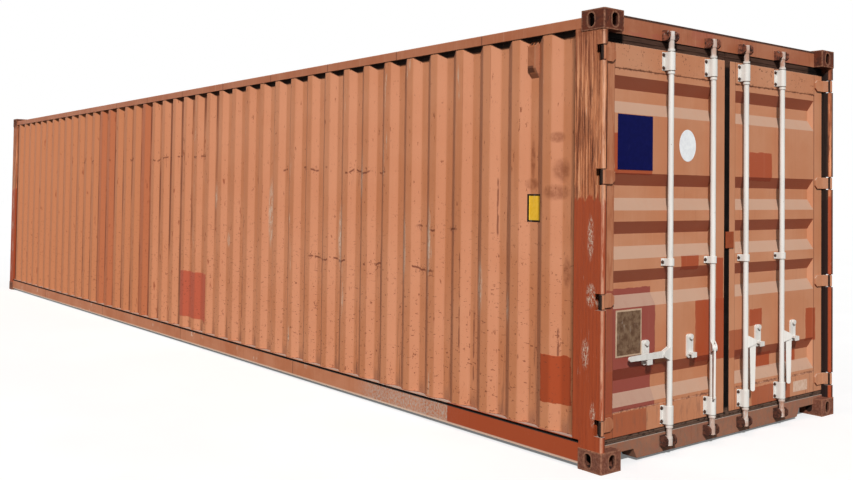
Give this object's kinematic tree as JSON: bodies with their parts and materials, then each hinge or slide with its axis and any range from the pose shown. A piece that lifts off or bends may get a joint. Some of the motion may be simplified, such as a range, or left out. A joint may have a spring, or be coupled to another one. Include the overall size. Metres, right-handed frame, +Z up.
{
  "type": "forty foot shipping container",
  "caption": "Weathered steel freight container with corrugated walls and roof, hinged double doors and turning lock bars with swing handles.",
  "frame": {"origin": "on the ground, in the middle of the four bottom corner castings", "axes": "+X along the box towards the doors, +Y to the right when facing the doors, +Z up"},
  "size_m": [12.2247, 2.438, 2.591],
  "materials": {
    "weathered_paint": "sun-faded rust-orange paint with rust streaks",
    "zinc_gear": "weathered zinc",
    "rusty_casting": "worn paint over rust",
    "black_rubber": "matt",
    "plywood": "worn",
    "underframe_paint": "dirty dark coating"
  },
  "bodies": {
    "container": {"rear_corner_post_left": "weathered_paint", "rear_corner_post_right": "weathered_paint", "front_corner_posts": "weathered_paint", "top_side_rails": "weathered_paint", "bottom_side_rails": "weathered_paint", "front_top_rail": "weathered_paint", "front_bottom_rail": "weathered_paint", "door_header": "weathered_paint", "door_sill": "weathered_paint", "side_wall_left": "weathered_paint", "side_wall_right": "weathered_paint", "front_wall": "weathered_paint", "roof_panel": "weathered_paint", "ventilators": "weathered_paint", "hinge_lugs": "weathered_paint", "hinge_pins": "zinc_gear", "cam_keepers": "zinc_gear", "top_corner_castings": "rusty_casting", "bottom_corner_castings": "rusty_casting", "floor_boards": "plywood", "cross_members": "underframe_paint", "tunnel_outriggers_left": "underframe_paint", "tunnel_outriggers_right": "underframe_paint", "gooseneck_tunnel": "underframe_paint"},
    "left_door": {"left_door_frame": "weathered_paint", "left_door_panel": "weathered_paint", "left_hinge_blades": "weathered_paint", "left_bar_guides": "zinc_gear", "left_handle_catches": "zinc_gear", "left_door_gasket": "black_rubber"},
    "right_door": {"right_door_frame": "weathered_paint", "right_door_panel": "weathered_paint", "right_hinge_blades": "weathered_paint", "right_bar_guides": "zinc_gear", "right_handle_catches": "zinc_gear", "right_door_gasket": "black_rubber", "overlap_plate": "weathered_paint"},
    "lock_bar_1": {"lock_bar_1": "zinc_gear"},
    "lock_bar_2": {"lock_bar_2": "zinc_gear"},
    "lock_bar_3": {"lock_bar_3": "zinc_gear"},
    "lock_bar_4": {"lock_bar_4": "zinc_gear"},
    "handle_1": {"bar_handle_1": "zinc_gear"},
    "handle_2": {"bar_handle_2": "zinc_gear"},
    "handle_3": {"bar_handle_3": "zinc_gear"},
    "handle_4": {"bar_handle_4": "zinc_gear"}
  },
  "joints": [
    {"name": "left_door_hinge", "type": "hinge", "parent": "container", "child": "left_door", "pos_m": [6.074, -1.197, 1.3], "axis": [0, 0, 1], "range_deg": [-260, 0]},
    {"name": "right_door_hinge", "type": "hinge", "parent": "container", "child": "right_door", "pos_m": [6.074, 1.197, 1.3], "axis": [0, 0, -1], "range_deg": [-260, 0]},
    {"name": "lock_bar_1_turn", "type": "hinge", "parent": "left_door", "child": "lock_bar_1", "pos_m": [6.067, -0.595, 1.3], "axis": [0, 0, 1], "range_deg": [0, 100]},
    {"name": "lock_bar_2_turn", "type": "hinge", "parent": "left_door", "child": "lock_bar_2", "pos_m": [6.067, -0.177, 1.3], "axis": [0, 0, 1], "range_deg": [-50, 50]},
    {"name": "lock_bar_3_turn", "type": "hinge", "parent": "right_door", "child": "lock_bar_3", "pos_m": [6.067, 0.177, 1.3], "axis": [0, 0, -1], "range_deg": [-38, 62]},
    {"name": "lock_bar_4_turn", "type": "hinge", "parent": "right_door", "child": "lock_bar_4", "pos_m": [6.067, 0.595, 1.3], "axis": [0, 0, -1], "range_deg": [-38, 62]},
    {"name": "handle_1_lift", "type": "hinge", "parent": "lock_bar_1", "child": "handle_1", "pos_m": [6.067, -0.641, 0.605], "axis": [-1, 0, 0], "range_deg": [0, 45]},
    {"name": "handle_2_lift", "type": "hinge", "parent": "lock_bar_2", "child": "handle_2", "pos_m": [6.10224, -0.20657, 0.605], "axis": [-0.6428, -0.766, 0], "range_deg": [0, 90]},
    {"name": "handle_3_lift", "type": "hinge", "parent": "lock_bar_3", "child": "handle_3", "pos_m": [6.09532, 0.21325, 0.605], "axis": [0.788, -0.6157, 0], "range_deg": [0, 90]},
    {"name": "handle_4_lift", "type": "hinge", "parent": "lock_bar_4", "child": "handle_4", "pos_m": [6.09532, 0.63125, 0.605], "axis": [0.788, -0.6157, 0], "range_deg": [0, 90]}
  ]
}
